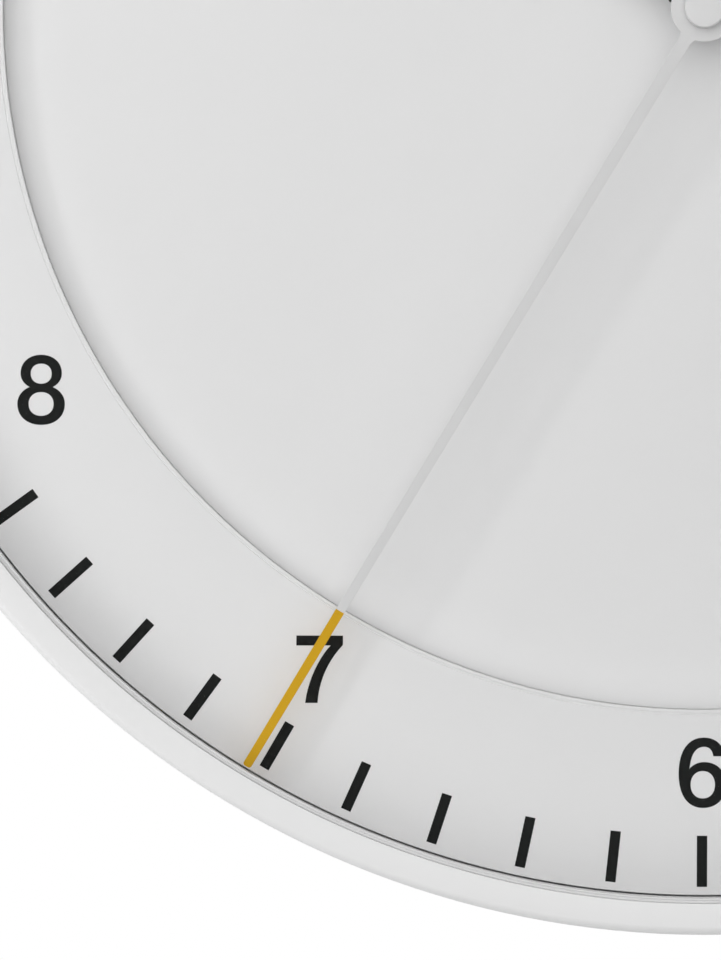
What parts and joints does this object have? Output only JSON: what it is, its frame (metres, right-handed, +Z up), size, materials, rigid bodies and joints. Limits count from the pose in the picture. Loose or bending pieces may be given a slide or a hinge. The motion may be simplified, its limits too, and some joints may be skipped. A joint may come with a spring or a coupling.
{
  "type": "wall clock",
  "caption": "Round wall clock with a raised hour ring round a recessed dial, three hands, a radio-set quartz movement and a keyhole hanger.",
  "frame": {"origin": "the point in the wall plane where the wall screw carries the clock, at the top of the keyhole slot", "axes": "+Y points back into the wall and the dial faces -Y, +Z is up towards twelve o'clock, +X is to the right as the dial is read"},
  "size_m": [0.3, 0.0432, 0.3],
  "materials": {
    "white_plastic": "satin moulded white",
    "dial_white": "fine matt white",
    "clear_glass": "clear, polished",
    "grey_rubber": "matt",
    "back_plastic": "fine textured off-white",
    "black_plastic": "fine spark texture",
    "natural_plastic": "natural acetal",
    "hand_black": "matt black paint",
    "hand_grey": "pale grey paint, yellow painted tip",
    "chip_resin": "black resin",
    "zinc_steel": "zinc plated",
    "brass": "turned",
    "soft_iron": "stamped",
    "ferrite": "dark sintered",
    "copper_wire": "enamelled copper wire",
    "board_green": "solder mask",
    "button_grey": "satin",
    "battery_wrap": "plain wrap, bright ends"
  },
  "bodies": {
    "clock_body": {"case": "white_plastic", "chapter_ring": "dial_white", "dial_disc": "dial_white", "lens": "clear_glass", "lens_gasket": "grey_rubber", "dial_washer": "grey_rubber", "rear_panel": "back_plastic", "movement_housing": "black_plastic", "movement_cover": "black_plastic", "reset_switch": "black_plastic", "set_switch": "black_plastic", "wave_switch": "black_plastic", "train_plate": "natural_plastic", "controller_chip": "chip_resin", "hanger_plate": "zinc_steel", "quartz_crystal": "zinc_steel", "positive_contact": "zinc_steel", "negative_contact": "zinc_steel", "case_screw_1": "zinc_steel", "case_screw_2": "zinc_steel", "case_screw_3": "zinc_steel", "case_screw_4": "zinc_steel", "hanger_screw_1": "zinc_steel", "hanger_screw_2": "zinc_steel", "cover_screw_1": "zinc_steel", "cover_screw_2": "zinc_steel", "cover_screw_3": "zinc_steel", "cover_screw_4": "zinc_steel", "train_screw_1": "zinc_steel", "train_screw_2": "zinc_steel", "train_screw_3": "zinc_steel", "board_screw_1": "zinc_steel", "board_screw_2": "zinc_steel", "bush_nut": "brass", "seconds_stator": "soft_iron", "minutes_stator": "soft_iron", "seconds_core": "soft_iron", "minutes_core": "soft_iron", "antenna_rod": "ferrite", "seconds_coil": "copper_wire", "minutes_coil": "copper_wire", "antenna_coil": "copper_wire", "circuit_board": "board_green"},
    "second_train": {"second_wheel": "natural_plastic", "second_hand": "hand_grey", "hand_cap": "hand_grey"},
    "minute_train": {"minute_wheel": "natural_plastic", "minute_hand": "hand_black"},
    "hour_train": {"hour_wheel": "natural_plastic", "hour_hand": "hand_black"},
    "motion_wheel": {"motion_wheel": "natural_plastic"},
    "seconds_gear": {"seconds_gear": "natural_plastic"},
    "minutes_gear": {"minutes_gear": "natural_plastic"},
    "seconds_rotor": {"seconds_rotor": "ferrite"},
    "minutes_rotor": {"minutes_rotor": "ferrite"},
    "battery": {"battery": "battery_wrap"},
    "reset_button": {"reset_button": "button_grey"},
    "set_button": {"set_button": "button_grey"},
    "wave_button": {"wave_button": "button_grey"}
  },
  "joints": [
    {"name": "second_hand_spin", "type": "hinge", "parent": "clock_body", "child": "second_train", "pos_m": [0, -0.02, -0.104], "axis": [0, 1, 0], "continuous": true},
    {"name": "minute_hand_spin", "type": "hinge", "parent": "clock_body", "child": "minute_train", "pos_m": [0, -0.02, -0.104], "axis": [0, 1, 0], "continuous": true},
    {"name": "hour_hand_spin", "type": "hinge", "parent": "clock_body", "child": "hour_train", "pos_m": [0, -0.02, -0.104], "axis": [0, 1, 0], "continuous": true},
    {"name": "motion_wheel_spin", "type": "hinge", "parent": "clock_body", "child": "motion_wheel", "pos_m": [0, -0.02, -0.0944], "axis": [0, 1, 0], "continuous": true},
    {"name": "seconds_gear_spin", "type": "hinge", "parent": "clock_body", "child": "seconds_gear", "pos_m": [-0.01026, -0.02, -0.10773], "axis": [0, 1, 0], "continuous": true},
    {"name": "minutes_gear_spin", "type": "hinge", "parent": "clock_body", "child": "minutes_gear", "pos_m": [0.01026, -0.02, -0.10773], "axis": [0, 1, 0], "continuous": true},
    {"name": "seconds_rotor_spin", "type": "hinge", "parent": "clock_body", "child": "seconds_rotor", "pos_m": [-0.01906, -0.02, -0.11094], "axis": [0, 1, 0], "continuous": true},
    {"name": "minutes_rotor_spin", "type": "hinge", "parent": "clock_body", "child": "minutes_rotor", "pos_m": [0.01906, -0.02, -0.11094], "axis": [0, 1, 0], "continuous": true},
    {"name": "battery_out", "type": "slide", "parent": "clock_body", "child": "battery", "axis": [0, 1, 0], "range_m": [0, 0.018]},
    {"name": "reset_press", "type": "slide", "parent": "clock_body", "child": "reset_button", "axis": [0, -1, 0], "range_m": [0, 0.0008], "stiffness_N_per_m": 300},
    {"name": "set_press", "type": "slide", "parent": "clock_body", "child": "set_button", "axis": [0, -1, 0], "range_m": [0, 0.0008], "stiffness_N_per_m": 300},
    {"name": "wave_press", "type": "slide", "parent": "clock_body", "child": "wave_button", "axis": [0, -1, 0], "range_m": [0, 0.0008], "stiffness_N_per_m": 300}
  ],
  "couplings": [
    {"joint": "seconds_gear_spin", "follows": "second_hand_spin", "ratio": -6},
    {"joint": "seconds_rotor_spin", "follows": "second_hand_spin", "ratio": 30},
    {"joint": "minutes_gear_spin", "follows": "minute_hand_spin", "ratio": -6},
    {"joint": "minutes_rotor_spin", "follows": "minute_hand_spin", "ratio": 30},
    {"joint": "motion_wheel_spin", "follows": "minute_hand_spin", "ratio": -0.33333},
    {"joint": "hour_hand_spin", "follows": "minute_hand_spin", "ratio": 0.083333}
  ]
}
